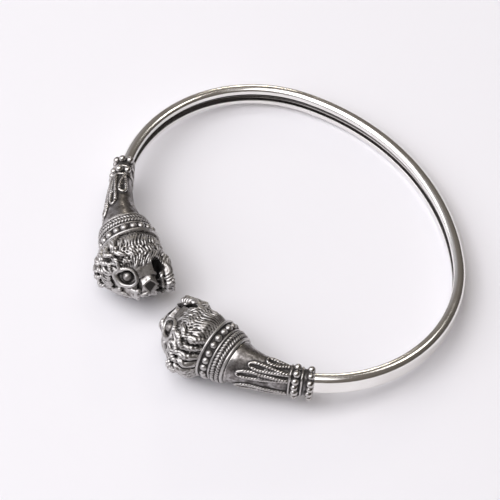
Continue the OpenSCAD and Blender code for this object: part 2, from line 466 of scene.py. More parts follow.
def mark_relief(mesh: Mesh, shade: np.ndarray, fine: int, wide: int) -> None:
    """Stores how far each point stands above (over 0.5) or below the smoothed surface round it.

    Args:
        mesh: a fused mesh, in millimetres.
        shade: how much darker each point is: a piece's even tarnish, and painted shade where it
            lies deep inside the piece.
        fine: averaging steps for small grooves.
        wide: averaging steps for wide hollows.
    """
    smoother = Smoother(mesh)
    points, normals = read_points(mesh), read_normals(mesh)
    near = smoother.times(points, fine)
    far = smoother.times(near, wide - fine)
    small = ((points - near) * normals).sum(axis=1)
    large = ((points - far) * normals).sum(axis=1)
    # Taking this off the relief adds the even tarnish and the painted shade of deep hollows to the
    # recess patina
    relief = 0.5 + small * FINE_GAIN + large * WIDE_GAIN - shade
    layer = mesh.attributes.new("relief", "FLOAT", "POINT")
    layer.data.foreach_set("value", np.clip(relief, 0, 1).astype(np.float32))


def place_piece(
    mesh: Mesh, name: str, points: np.ndarray, flip: bool, material: Material
) -> Object:
    """Makes an object of a mesh whose points are given in the row frame.

    Args:
        mesh: the mesh, which becomes the object's own.
        name: the object's name.
        points: its points in metres.
        flip: whether its faces are turned over, as for a mirrored piece.
        material: its material.

    Returns:
        The object, in the scene.
    """
    write_points(mesh, points)
    if flip:
        mesh.flip_normals()
    mesh.shade_smooth()
    mesh.materials.clear()
    mesh.materials.append(material)
    mesh.name = name
    piece = new_object(name, mesh)
    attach(piece, "root")
    return piece


# Finishes

Colour = tuple[float, float, float, float]


def add_node(
    tree: NodeTree,
    kind: str,
    wiring: dict[str | int, object] | None = None,
    **settings: object,
) -> Node:
    """Adds a node to a shader tree.

    Args:
        tree: the tree.
        kind: the node's type.
        wiring: for each of its inputs, a value or the output that feeds it.
        settings: its properties.

    Returns:
        The node.
    """
    node = tree.nodes.new(kind)
    for key, value in settings.items():
        setattr(node, key, value)
    connect(tree, node, wiring or {})
    return node


def connect(tree: NodeTree, node: Node, wiring: dict[str | int, object]) -> None:
    """Gives each named input of a node its value, or the output that feeds it."""
    for key, source in wiring.items():
        if isinstance(source, NodeSocket):
            tree.links.new(source, node.inputs[key])
        else:
            node.inputs[key].default_value = source


def noise(
    tree: NodeTree, place: object, scale: object, detail: float, rough: float = 0.5
) -> NodeSocket:
    """Returns a noise over place, of a scale, a number of layers and their roughness."""
    wiring = {"Vector": place, "Scale": scale, "Detail": detail, "Roughness": rough}
    return add_node(tree, "ShaderNodeTexNoise", wiring).outputs["Fac"]


def remap(
    tree: NodeTree,
    value: object,
    low: object = 0.0,
    high: object = 1.0,
    start: object = 0.0,
    end: object = 1.0,
    **settings: object,
) -> NodeSocket:
    """Returns a value moved from the range low to high to the range start to end."""
    wiring = {"Value": value, "From Min": low, "From Max": high, "To Min": start, "To Max": end}
    return add_node(tree, "ShaderNodeMapRange", wiring, **settings).outputs["Result"]


def blend(tree: NodeTree, share: object, first: object, second: object) -> NodeSocket:
    """Returns a mix of two colours with a share of the second."""
    wiring = {"Factor": share, "A": first, "B": second}
    return add_node(tree, "ShaderNodeMix", wiring, data_type="RGBA").outputs["Result"]


def new_group(
    name: str, inputs: dict[str, object], outputs: Sequence[str]
) -> tuple[NodeTree, NodeInputs, Node]:
    """Makes an empty shader group with named sockets.

    Args:
        name: the group's name.
        inputs: the default of each input: a number, a colour, or None for a vector.
        outputs: the name of each output; Color is a colour and the others are numbers.

    Returns:
        The group, the sockets that its inputs arrive at, and its output node.
    """
    group = bpy.data.node_groups.new(name, "ShaderNodeTree")
    for label, default in inputs.items():
        kind = "Color" if isinstance(default, tuple) else "Float"
        kind = "Vector" if default is None else kind
        socket = group.interface.new_socket(
            label, in_out="INPUT", socket_type=f"NodeSocket{kind}"
        )
        if default is not None:
            socket.default_value = default
    for label in outputs:
        kind = "Color" if label == "Color" else "Float"
        group.interface.new_socket(label, in_out="OUTPUT", socket_type=f"NodeSocket{kind}")
    given = add_node(group, "NodeGroupInput").outputs
    return group, given, add_node(group, "NodeGroupOutput")


def patina_group() -> NodeTree:
    """Builds the tarnish in the recesses of worked silver, which is worn off its high spots."""
    group, given, out = new_group(
        "RecessPatina",
        {
            "Place": None,
            "Relief": 0.5,
            "Worn Silver": (0.9, 0.88, 0.85, 1),
            "Warm Tarnish": (0.5, 0.42, 0.33, 1),
            "Cool Tarnish": (0.4, 0.42, 0.5, 1),
            "Oxide": (0.03, 0.028, 0.03, 1),
            "Low": 0.3,
            "High": 0.6,
            "Blotch Size": 900.0,
            "Worn Roughness": 0.3,
            "Oxide Roughness": 0.6,
        },
        ("Color", "Roughness", "Metallic", "Height"),
    )
    blotch = noise(group, given["Place"], given["Blotch Size"], 5, 0.65)
    wander = remap(group, blotch, 0.3, 0.7, -0.13, 0.13)
    shifted = add_node(group, "ShaderNodeMath", {0: given["Relief"], 1: wander}, operation="ADD")
    worn = remap(
        group,
        shifted.outputs[0],
        given["Low"],
        given["High"],
        interpolation_type="SMOOTHSTEP",
    )
    tint = blend(group, blotch, given["Warm Tarnish"], given["Cool Tarnish"])
    dark = blend(group, remap(group, worn, high=0.5), given["Oxide"], tint)
    roughness = remap(group, worn, start=given["Oxide Roughness"], end=given["Worn Roughness"])
    wiring = {
        "Color": blend(group, remap(group, worn, low=0.4), dark, given["Worn Silver"]),
        "Roughness": roughness,
        "Metallic": remap(group, worn, high=0.3, start=0.7),
        "Height": blotch,
    }
    connect(group, out, wiring)
    return group


def wear_group() -> NodeTree:
    """Builds the wear of polished silver: hairline scratches along the metal and faint haze, and
    the channel's dark colour, part tarnish and part painted shade.
    """
    group, given, out = new_group(
        "PolishWear",
        {
            "Place": None,
            "Run": None,
            "Silver": (0.9, 0.88, 0.85, 1),
            "Haze": (0.75, 0.72, 0.68, 1),
            "Oxide": (0.03, 0.028, 0.03, 1),
            "Smooth": 0.08,
            "Rough": 0.2,
        },
        ("Color", "Roughness", "Height"),
    )
    wiring = {0: given["Run"], 1: (0.5, 14.0, 1.0)}
    stretch = add_node(group, "ShaderNodeVectorMath", wiring, operation="MULTIPLY")
    lines = noise(group, stretch.outputs["Vector"], 1.0, 6, 0.7)
    haze = noise(group, given["Place"], 260.0, 4)
    both = add_node(group, "ShaderNodeMath", {0: lines, 1: haze}, operation="MULTIPLY")
    mask = remap(group, both.outputs[0], 0.15, 0.4)
    colour = blend(group, mask, given["Silver"], given["Haze"])
    # Down in the channel the colour goes to Oxide: part tarnish, part painted shade of the recess
    channel = add_node(group, "ShaderNodeSeparateXYZ", {"Vector": given["Run"]}).outputs["Z"]
    wiring = {
        "Color": blend(group, channel, colour, given["Oxide"]),
        "Roughness": remap(group, mask, start=given["Smooth"], end=given["Rough"]),
        "Height": lines,
    }
    connect(group, out, wiring)
    return group


def new_material(name: str) -> tuple[Material, Node]:
    """Makes a material with node shading and returns it with its Principled node."""
    material = bpy.data.materials.new(name)
    material.use_nodes = True
    return material, material.node_tree.nodes["Principled BSDF"]


@dataclass(frozen=True)
class Finish:
    """A finish: all its fields but the name and the bump's depth feed its shader group."""

    name: str
    bump: float

    def material(self, group: NodeTree, label: str, kind: str) -> Material:
        """Makes a material whose shader is fed by a group.

        Args:
            group: the group; its outputs feed the shader's inputs of the same names.
            label: the mesh's stored value that feeds the group's input of that name.
            kind: the output that the value is read from.

        Returns:
            The material.
        """
        feeds = {key.replace("_", " ").title(): value for key, value in vars(self).items()}
        del feeds["Name"], feeds["Bump"]
        material, shader = new_material(self.name)
        tree = material.node_tree
        stored = add_node(tree, "ShaderNodeAttribute", attribute_name=label)
        feeds[label.title()] = stored.outputs[kind]
        feeds["Place"] = add_node(tree, "ShaderNodeTexCoord").outputs["Object"]
        made = add_node(tree, "ShaderNodeGroup", feeds, node_tree=group).outputs
        height = {"Distance": self.bump, "Strength": 1.0, "Height": made["Height"]}
        wiring = {
            "Base Color": made["Color"],
            "Roughness": made["Roughness"],
            "Metallic": made["Metallic"] if "Metallic" in made else 1.0,
            "Normal": add_node(tree, "ShaderNodeBump", height).outputs["Normal"],
        }
        connect(tree, shader, wiring)
        return material


@dataclass(frozen=True)
class AgedSilver(Finish):
    """Cast and soldered silver with dark oxide in its recesses."""

    name: str = "aged_silver"
    bump: float = 0.00003
    worn_silver: Colour = (0.53, 0.515, 0.505, 1)
    warm_tarnish: Colour = (0.34, 0.29, 0.235, 1)
    cool_tarnish: Colour = (0.29, 0.3, 0.34, 1)
    oxide: Colour = (0.05, 0.046, 0.045, 1)
    low: float = 0.3
    high: float = 0.62
    blotch_size: float = 1700.0
    worn_roughness: float = 0.33
    oxide_roughness: float = 0.6

    def build(self, group: NodeTree) -> Material:
        """Makes the material from the patina group."""
        return self.material(group, "relief", "Fac")


@dataclass(frozen=True)
class PolishedSilver(Finish):
    """Polished silver with hairline scratches along the band."""

    name: str = "polished_silver"
    bump: float = 0.000006
    silver: Colour = (0.93, 0.915, 0.89, 1)
    haze: Colour = (0.84, 0.82, 0.79, 1)
    # The channel's dark colour: part tarnish, part painted shade
    oxide: Colour = (0.17, 0.16, 0.155, 1)
    smooth: float = 0.1
    rough: float = 0.24

    def build(self, group: NodeTree) -> Material:
        """Makes the material from the wear group."""
        return self.material(group, "run", "Vector")


# The band


@dataclass
class Band:
    """The slim polished band with a shallow channel along its wrist side."""

    axis: EndAxis
    rest: Rest
    thick: float = 1.85
    height: float = 3.8
    dome_rise: float = 0.85
    crest: float = 0.1
    rib_drop: float = 0.5
    channel_width: float = 1.5
    channel_depth: float = 0.8
    lip: float = 0.12
    into_socket: float = 1.2

    def section(self) -> tuple[np.ndarray, np.ndarray]:
        """Works out the section's outline, counter-clockwise from the middle of the outer face.

        Returns:
            N by 2 points, outwards and up, and for each how far it lies down in the channel.
        """
        x, y, half = self.thick / 2, self.height / 2, self.channel_width / 2
        outer, inner = x + self.crest, x - self.crest
        upper = [(x, share * (y - self.dome_rise)) for share in np.linspace(0, 1, 8)]
        for turn in np.radians(np.linspace(6, 90, 15)):
            drop = self.dome_rise * (1 - math.sin(turn))
            upper.append((outer * math.cos(turn) - self.crest, y - drop))
        for turn in np.radians(np.linspace(96, 180, 15)):
            drop = self.rib_drop * (1 - math.sin(turn))
            upper.append((inner * math.cos(turn) - self.crest, y - drop))
        for share in np.linspace(0.35, 1, 3):
            upper.append((-x, lerp(y - self.rib_drop, half + self.lip, share)))
        floor = len(upper)
        for turn in np.radians(np.linspace(25, 90, 5)):
            rise = self.lip * (1 - math.sin(turn))
            upper.append((-x + self.lip * (1 - math.cos(turn)), half + rise))
        for sunk, wide in ((0.6, 0.97), (1, 0.8), (1, 0.4)):
            upper.append((-x + self.channel_depth * sunk, half * wide))
        # How far down in the channel each point lies; it sets the channel's tarnish and painted
        # shade
        deep = [0.0] * floor + [0.15, 0.3, 0.5, 0.7, 0.85] + [1.0] * (len(upper) - floor - 5)
        lower = [(out, -up) for out, up in upper[:0:-1]]
        points = np.array(upper + [(-x + self.channel_depth, 0.0)] + lower)
        return points, np.array(deep + [1.0] + deep[:0:-1])

    def build(self, material: Material) -> Object:
        """Sweeps the section round the oval and replaces the plain band.

        Args:
            material: the band's material.

        Returns:
            The band.
        """
        section, deep = self.section()
        oval = self.axis.oval
        bend = oval.back_half_angle
        end = self.axis.mouth_angle + math.degrees(self.into_socket / oval.side_radius)
        angles = np.concatenate(
            [
                np.linspace(-end, -bend, 110, endpoint=False),
                np.linspace(-bend, bend, 120),
                np.linspace(bend, end, 111)[1:],
            ]
        )
        spots, outward = oval.spot(angles), oval.outward(angles)
        flat = spots[:, None] + section[None, :, :1] * outward[:, None]
        heights = np.broadcast_to(section[None, :, 1:], flat.shape[:2] + (1,))
        rings = np.concatenate([flat, heights], axis=2)
        points, faces = close_rings(rings)
        around = np.cumsum(np.linalg.norm(section - np.roll(section, 1, axis=0), axis=1))
        run = np.zeros((len(points), 3))
        run[:-2, 0] = np.repeat(distances(spots), len(section))
        run[:-2, 1] = np.tile(around, len(angles))
        # The channel's depth, which sets its tarnish and painted shade
        run[:-2, 2] = np.tile(deep, len(angles))
        mesh = bpy.data.meshes.new("band_polished")
        mesh.from_pydata(points.tolist(), [], faces)
        layer = mesh.attributes.new("run", "FLOAT_VECTOR", "POINT")
        layer.data.foreach_set("vector", run.astype(np.float32).ravel())
        piece = place_piece(mesh, "band_polished", self.rest.to_row(points), True, material)
        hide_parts("band")
        return piece


@dataclass
class EndPiece:
    """A piece of an end: it is fused once, then placed on the right and mirrored to the left."""

    axis: EndAxis
    rest: Rest
    # The grid that it is fused on, and how often its surface is averaged to find its relief
    voxel: float = 0.083
    relief_fine: int = 10
    relief_wide: int = 57

    def cast(self) -> Mesh:
        """Returns the fused mesh; each kind of piece has its own."""
        raise NotImplementedError

    def to_level(self, points: np.ndarray) -> np.ndarray:
        """Moves the mesh's points to the level frame."""
        return points

    def shade(self, points: np.ndarray) -> np.ndarray:
        """Returns how much darker each point is: an even tarnish, and painted shade where it lies
        deep inside the piece; none here.
        """
        return np.zeros(len(points))

    def node(self) -> str:
        """Returns the name of the node that it stands for, without its side."""
        raise NotImplementedError

    def spot(
        self, length: np.ndarray, turn: np.ndarray, proud: np.ndarray | float = 0.0
    ) -> np.ndarray:
        """Finds points round the piece; each kind with a smooth core has its own."""
        raise NotImplementedError

    def core(self, lengths: np.ndarray) -> Shell:
        """Returns the smooth body under the ornament, through sections at the given lengths."""
        turn = np.linspace(0, 360, CORE_SIDES, endpoint=False)
        return close_rings(np.stack([self.spot(np.full(CORE_SIDES, s), turn) for s in lengths]))

    def build(self, material: Material) -> list[Object]:
        """Makes both sides of the piece.

        Args:
            material: its material.

        Returns:
            The right-hand and the left-hand object.
        """
        right = self.cast()
        points = read_points(right)
        mark_relief(right, self.shade(points), self.relief_fine, self.relief_wide)
        level = self.to_level(points)
        pieces = []
        for side, mesh in ((Side.RIGHT, right), (Side.LEFT, right.copy())):
            node = f"{self.node()}_{side.name.lower()}"
            points = self.rest.to_row(level, side)
            piece = place_piece(mesh, f"{node}_worked", points, side is Side.LEFT, material)
            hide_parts(node)
            pieces.append(piece)
            LOG.info("%s: %d faces", piece.name, len(mesh.polygons))
        return pieces


# The socket


@dataclass(frozen=True)
class NeckSection:
    """One section of the neck: where it is, its half sizes, its squareness and its offset."""

    length: float
    thick: float
    height: float
    power: float
    offset: float


NECK = (
    NeckSection(0.0, 1.4, 2.4, 3.4, 0.0),
    NeckSection(1.3, 1.4, 2.4, 3.4, 0.0),
    NeckSection(3.9, 1.55, 2.65, 2.9, 0.0),
    NeckSection(6.5, 1.95, 3.0, 2.5, 0.15),
    NeckSection(9.0, 2.35, 3.3, 2.2, 0.5),
    NeckSection(11.0, 3.05, 3.55, 2.0, 0.85),
    NeckSection(12.3, 3.6, 3.7, 2.0, 1.0),
)


@dataclass(frozen=True)
class Tongue:
    """One filigree tongue: its angle round the neck, its length and the width of its tip."""

    angle: float
    length: float
    width: float


@dataclass
class Socket(EndPiece):
    """The flared neck with its rings of grains and its filigree tongues."""

    grains: int = 12
    grain: float = 0.62
    grain_reach: float = 120.0
    # Each row of grains: its length along the neck, its random seed, and the length of the wire
    # that follows it
    rows: tuple[tuple[float, int, float], ...] = ((0.55, 3, 1.85), (2.72, 8, 3.6))
    wire: float = 0.2
    tongues: tuple[Tongue, ...] = (
        Tongue(25, 7.0, 14),
        Tongue(60, 5.8, 15),
        Tongue(96, 3.7, 14),
    )
    # Where the tongues start, and the share of their outline at which the plain tip starts
    root: float = 3.85
    plain_from: float = 0.37
    tip_wire: float = 0.23
    rope_strand: float = 0.17
    rope_pitch: float = 0.9
    inner_strand: float = 0.15
    inner_share: float = 0.6

    def node(self) -> str:
        """Returns the node's name without its side."""
        return "socket"

    def spot(
        self, length: np.ndarray, turn: np.ndarray, proud: np.ndarray | float = 0.0
    ) -> np.ndarray:
        """Finds points on the neck's surface.

        Args:
            length: distances from the mouth.
            turn: degrees round the neck; 0 is the outside and 90 the top.
            proud: distance above the surface.

        Returns:
            N by 3 points in the level frame.
        """
        length, turn = np.broadcast_arrays(np.asarray(length, float), np.asarray(turn, float))
        names = ("thick", "height", "power", "offset")
        thick, height, power, offset = section_values(NECK, "length", length, names)
        c, s = np.cos(np.radians(turn)), np.sin(np.radians(turn))
        out = (thick + proud) * np.sign(c) * np.abs(c) ** (2 / power)
        up = (height + proud) * np.sign(s) * np.abs(s) ** (2 / power)
        return self.axis.level(np.column_stack([length, out + offset * self.axis.offset, up]))

    def even_turns(self, length: float, count: int) -> np.ndarray:
        """Returns count angles that are evenly spaced along the neck's outline at a length."""
        turn = np.linspace(0, 360, 721)
        run = distances(self.spot(np.full(turn.shape, length), turn))
        return np.interp((np.arange(count) + 0.5) / count * run[-1], run, turn)

    def ring(self, casting: Casting, length: float) -> None:
        """Adds a plain wire round the neck."""
        turn = self.even_turns(length, 60)
        casting.add(loop_shell(self.spot(length, turn, self.wire * 0.4), self.wire, 8))

    def grain_row(self, casting: Casting, length: float, seed: int) -> None:
        """Adds a row of grains, each a little different in size, except on the wrist side."""
        vary = np.random.default_rng(seed)
        turns = self.even_turns(length, self.grains)
        for turn in turns[np.abs((turns + 180) % 360 - 180) < self.grain_reach]:
            size = self.grain * vary.uniform(0.93, 1.05)
            centre = self.spot(length + vary.uniform(-0.05, 0.05), turn, size * 0.35)[0]
            casting.ball(centre, size)

    def tongue_path(self, tongue: Tongue) -> np.ndarray:
        """Returns a tongue's outline, from its root round its tip and back."""
        turn = np.linspace(0, 2 * math.pi, 90)
        along = (1 - np.cos(turn)) / 2
        swell = np.sin(turn) * (0.2 + 0.8 * along**1.2) * 1.2
        length = self.root + tongue.length * along
        return self.spot(length, tongue.angle + tongue.width * swell, 0.12)

    def rope(self, casting: Casting, path: np.ndarray, strand: float) -> None:
        """Adds two strands twisted round each other along a path.

        Args:
            casting: the casting that they go into.
            path: the rope's middle line.
            strand: a strand's radius.
        """
        run = distances(path)
        fine = np.linspace(0, run[-1], max(24, int(run[-1] / self.rope_pitch * 10)))
        line = points_at(fine, run, path)
        ahead = headings(line)
        side = np.cross(ahead, [0.0, 0.0, 1.0])
        side /= np.maximum(np.linalg.norm(side, axis=1), 1e-6)[:, None]
        rise = np.cross(side, ahead)
        phase = fine / self.rope_pitch * 2 * math.pi
        for start in (0.0, math.pi):
            twist = side * np.cos(phase + start)[:, None] + rise * np.sin(phase + start)[:, None]
            casting.add(tube_shell(line + twist * strand * 0.9, strand, 7))

    def petal(self, casting: Casting, tongue: Tongue) -> None:
        """Adds a tongue: roped sides, a thicker plain wire round the tip and two ropes inside."""
        path = self.tongue_path(tongue)
        count = len(path)
        first, last = int(count * self.plain_from), int(count * (1 - self.plain_from))
        for leg in (path[: first + 3], path[last - 3 :]):
            self.rope(casting, leg, self.rope_strand)
        casting.add(tube_shell(path[first : last + 1], self.tip_wire, 8))
        inner = self.root + tongue.length * np.linspace(0.05, self.inner_share, 20)
        for way in (-1, 1):
            turn = tongue.angle + way * tongue.width * np.linspace(0.12, 0.36, 20)
            self.rope(casting, self.spot(inner, turn, 0.05), self.inner_strand)

    def cast(self) -> Mesh:
        """Returns the fused neck with its grains, wires and tongues."""
        casting = Casting("socket")
        casting.add(self.core(np.linspace(0, self.axis.neck_end, 44)))
        for grains_at, seed, wire_at in self.rows:
            self.grain_row(casting, grains_at, seed)
            self.ring(casting, wire_at)
        for tongue in self.tongues:
            for side in (1, -1):
                self.petal(casting, Tongue(side * tongue.angle, tongue.length, tongue.width))
        return casting.fuse(self.voxel)


# The collar


@dataclass
class Collar(EndPiece):
    """The widening collar: a rim wire, two braided rows, a wire, a row of grains and a wire."""

    tarnish: float = 0.11
    low: float = 3.65
    high: float = 4.75
    grains: int = 20
    grain: float = 0.62
    grain_row: float = 3.1
    # Each plain wire: its height and its radius
    wires: tuple[tuple[float, float], ...] = ((0.28, 0.27), (2.25, 0.17), (4.05, 0.24))
    # Each braided row: its height and the way that it twists
    braids: tuple[tuple[float, int], ...] = ((0.92, 1), (1.62, -1))
    strand: float = 0.2
    twists: int = 26

    def node(self) -> str:
        """Returns the node's name without its side."""
        return "collar"

    def shade(self, points: np.ndarray) -> np.ndarray:
        """Returns the collar's even tarnish, which is a little heavier than elsewhere."""
        return np.full(len(points), self.tarnish)

    def to_level(self, points: np.ndarray) -> np.ndarray:
        """Moves the collar's points from its own axis to the level frame."""
        return self.axis.from_straight(points, self.axis.collar_start)

    def radius(self, z: float) -> float:
        """Returns the cone's radius at a height."""
        return lerp(self.low, self.high, z / self.axis.collar_length)

    def circle(self, turn: np.ndarray, radius: np.ndarray, z: np.ndarray) -> np.ndarray:
        """Returns points round the collar's axis."""
        z = np.broadcast_to(z, turn.shape)
        return np.column_stack([radius * np.cos(turn), radius * np.sin(turn), z])

    def braid(self, casting: Casting, z: float, way: int) -> None:
        """Adds a braided row at height z; its two strands twist one way (1) or the other (-1)."""
        turn = np.linspace(0, 2 * math.pi, self.twists * 12, endpoint=False)
        for start in (0.0, math.pi):
            phase = way * turn * self.twists + start
            radius = self.radius(z) + 0.05 + self.strand * np.cos(phase)
            path = self.circle(turn, radius, z + self.strand * np.sin(phase))
            casting.add(loop_shell(path, self.strand, 7))

    def cast(self) -> Mesh:
        """Returns the fused collar."""
        casting = Casting("collar")
        turn = np.linspace(0, 2 * math.pi, 120, endpoint=False)
        heights = np.linspace(0, self.axis.collar_length, 18)
        rings = [self.circle(turn, self.radius(z), z) for z in heights]
        casting.add(close_rings(np.stack(rings)))
        for z, wire in self.wires:
            path = self.circle(turn, self.radius(z) + wire * 0.3, z)
            casting.add(loop_shell(path, wire, 10))
        for z, way in self.braids:
            self.braid(casting, z, way)
        vary = np.random.default_rng(5)
        reach = self.radius(self.grain_row) - 0.12
        for k in range(self.grains):
            turn = math.radians((k + 0.5) * 360 / self.grains + vary.uniform(-1.2, 1.2))
            size = self.grain * vary.uniform(0.94, 1.04)
            centre = (reach * math.cos(turn), reach * math.sin(turn), self.grain_row)
            casting.ball(centre, size)
        return casting.fuse(self.voxel)


# The lion head


@dataclass(frozen=True)
class ManeSection:
    """One section of the mane without its locks: where it is, its middle and its half sizes."""

    forward: float
    middle: float
    out: float
    up: float


@dataclass(frozen=True)
class LockRow:
    """One row of locks: its place, its number and the shape of their strands.

    start and end are distances along the head, first and last the angles that the row runs
    between (0 is the crown), strands the strands in a lock, apart their distance, size their
    radius, sway their turn towards the crown, hook the turn of their tips and lift the height
    of these.
    """

    start: float
    end: float
    count: int
    first: float
    last: float
    strands: int
    apart: float
    size: float
    sway: float
    hook: float
    lift: float


MANE = (
    ManeSection(0.0, 0.1, 4.25, 4.4),
    ManeSection(1.35, 0.5, 4.85, 4.9),
    ManeSection(3.15, 0.5, 4.95, 4.85),
    ManeSection(4.75, 0.1, 4.6, 4.35),
    ManeSection(6.15, -0.5, 3.85, 3.45),
    ManeSection(7.2, -1.0, 3.2, 2.6),
)

LOCK_ROWS = (
    LockRow(-0.1, 3.1, 11, 62, 298, 4, 0.44, 0.22, 9, 0, 0.42),
    LockRow(-0.2, 3.1, 8, -68, 68, 1, 0.6, 0.6, 8, 9, 0.7),
    LockRow(1.9, 4.3, 15, 44, 316, 4, 0.4, 0.18, 14, 9, 0.34),
    LockRow(3.0, 5.0, 16, 50, 310, 3, 0.42, 0.17, 11, -9, 0.28),
    LockRow(3.9, 5.7, 16, 58, 302, 3, 0.38, 0.16, 7, 8, 0.24),
    LockRow(4.7, 6.2, 13, 72, 288, 3, 0.36, 0.15, 4, -7, 0.2),
    LockRow(1.7, 4.2, 8, -60, 60, 1, 0.6, 0.48, -7, 12, 1.0),
    LockRow(2.8, 5.0, 8, -54, 54, 1, 0.5, 0.4, -7, -12, 0.8),
    LockRow(3.5, 5.5, 8, -44, 44, 2, 0.46, 0.31, -7, 4, 0.6),
)


@dataclass
class LionHead(EndPiece):
    """The cast lion head, in its own coordinates: out (towards the crown), up and forward."""

    voxel: float = 0.092
    relief_fine: int = 8
    relief_wide: int = 46
    mane_radius: float = 5.0
    mane_middle: float = 0.4
    groove: float = 0.045
    grooves: int = 60
    eye: tuple[float, float, float] = (2.45, 2.3, 6.5)
    eye_size: float = 0.72
    jaw_curls: int = 14
    mouth_corner: tuple[float, float] = (-2.45, 6.0)
    # The corners of a whisker pad's flat face
    kite: tuple[tuple[float, float, float], ...] = (
        (-0.88, 2.25, 7.85),
        (0.38, 1.5, 8.2),
        (-0.5, 0.1, 9.05),
        (-1.85, 1.38, 8.32),
    )
    vary: np.random.Generator = field(default_factory=lambda: np.random.default_rng(12))

    def node(self) -> str:
        """Returns the node's name without its side."""
        return "lion_head"

    def to_level(self, points: np.ndarray) -> np.ndarray:
        """Moves the head's points from its own axis to the level frame."""
        return self.axis.from_straight(points, self.axis.head_start)

    def spot(
        self, length: np.ndarray, turn: np.ndarray, proud: np.ndarray | float = 0.0
    ) -> np.ndarray:
        """Finds points on the mane.

        Args:
            length: distances from the head's start.
            turn: degrees round the head; 0 is the crown and 90 the top side.
            proud: distances above the mane's surface.

        Returns:
            N by 3 points in the head's coordinates.
        """
        middle, out, up = section_values(MANE, "forward", length, ("middle", "out", "up"))
        angle = np.radians(turn)
        return np.column_stack(
            [middle + (out + proud) * np.cos(angle), (up + proud) * np.sin(angle), length]
        )

    def strand(
        self,
        casting: Casting,
        turn: float,
        span: tuple[float, float],
        bend: tuple[float, float],
        size: float,
        lift: float,
    ) -> None:
        """Adds one strand of hair that sways in an S and stands off the head at its tip.

        Args:
            casting: the casting that it goes into.
            turn: where it starts round the head, in degrees.
            span: where it starts and ends along the head.
            bend: how far it sways to the side, and how far its tip hooks, in degrees.
            size: its largest radius.
            lift: how far its tip stands off the head.
        """
        share = np.linspace(0, 1, 18)
        forward = span[0] + (span[1] - span[0]) * share
        wave = 0.25 * np.sin(share * 2 * math.pi)
        turns = turn + bend[0] * (share**1.3 - wave) + bend[1] * share**4
        proud = -0.05 + lift * np.sin(share * math.pi * 0.62)
        radius = size * (0.6 + 0.4 * np.sin(share * math.pi * 0.8))
        radius[-3:] *= np.array([0.9, 0.72, 0.45])
        casting.add(tube_shell(self.spot(forward, turns, proud), radius, 8))

    def lock(self, casting: Casting, turn: float, row: LockRow) -> None:
        """Adds a lock of strands that lie side by side and sweep towards the crown.

        Args:
            casting: the casting that it goes into.
            turn: where it starts round the head, in degrees.
            row: the row that it is in.
        """
        side = math.sin(math.radians(turn))
        sway = -row.sway * side * self.vary.uniform(0.8, 1.2)
        start = row.start + self.vary.uniform(-0.25, 0.1)
        end = row.end + self.vary.uniform(-0.35, 0.35)
        lift = row.lift * self.vary.uniform(0.7, 1.3)
        for k in range(row.strands):
            step = k - (row.strands - 1) / 2
            span = (start, end - 0.3 * abs(step) + self.vary.uniform(-0.25, 0.25))
            angle = turn + math.degrees(step * row.apart / self.mane_radius)
            size = row.size * self.vary.uniform(0.85, 1.1)
            self.strand(casting, angle, span, (sway, row.hook), size, lift * (1 - 0.2 * abs(step)))

    def mane(self, casting: Casting) -> None:
        """Adds the mane: its core and the rows of locks, with the fringe over the brow."""
        casting.add(self.core(np.linspace(0, MANE[-1].forward, 28)))
        for row in LOCK_ROWS:
            for k in range(row.count):
                self.lock(casting, lerp(row.first, row.last, (k + 0.5) / row.count), row)

    def mirrored(self, spots: Spots, side: int) -> list[list[float]]:
        """Returns spots of the upper half of the face, or their mirror images below."""
        return [[out, side * up, forward] for out, up, forward in spots]

    def both(self, spots: Spots) -> list[list[float]]:
        """Returns spots of the upper half of the face and their mirror images below."""
        return self.mirrored(spots, 1) + self.mirrored(spots, -1)

    def block(self, casting: Casting, spots: Spots, size: float) -> None:
        """Adds a block with flat sides between small balls at its corners."""
        bm = bmesh.new()
        for spot in spots:
            for point in ball_shell(spot, (size, size, size), 2)[0].tolist():
                bm.verts.new(point)
        bmesh.ops.convex_hull(bm, input=bm.verts[:])
        bmesh.ops.delete(bm, geom=[v for v in bm.verts if not v.link_faces], context="VERTS")
        bm.verts.index_update()
        points = np.array([v.co[:] for v in bm.verts])
        casting.add((points, [tuple(v.index for v in f.verts) for f in bm.faces]))
        bm.free()

    def muzzle(self, casting: Casting) -> None:
        """Adds the blocky muzzle: flat whisker pads, the upper lip, the bridge and the nose."""
        bridge = [(3.15, 0.4, 6.2), (2.6, 0.5, 7.4), (1.75, 0.75, 8.5), (0.9, 0.6, 6.4)]
        self.block(casting, self.both(bridge), 0.24)
        nose = (1.5, 0, 8.75)
        casting.ball(nose, (0.5, 1.0, 0.5))
        for side in (1, -1):
            pad = [
                (0.65, 2.4, 5.8),
                (-1.35, 2.45, 6.1),
                *self.kite,
                (0.6, 0.3, 8.6),
                (-1.6, 0.2, 8.5),
                (0.8, 0.3, 6.0),
                (-1.2, 0.2, 6.0),
            ]
            self.block(casting, self.mirrored(pad, side), 0.16)
            edge = [self.kite[k] for k in (0, 1, 2, 3, 0)]
            for k in range(4):
                casting.link(self.mirrored(edge[k : k + 2], side), [0.2, 0.2], 3)
            nostril = (1.3, side * 0.85, 8.7)
            casting.ball(nostril, (0.46, 0.4, 0.42))
            lip = [(0.75, 0.12, 9.0), (0.0, 0.25, 9.05), (-0.7, 0.75, 8.75)]
            casting.link(self.mirrored(lip, side), [0.2, 0.24, 0.2])

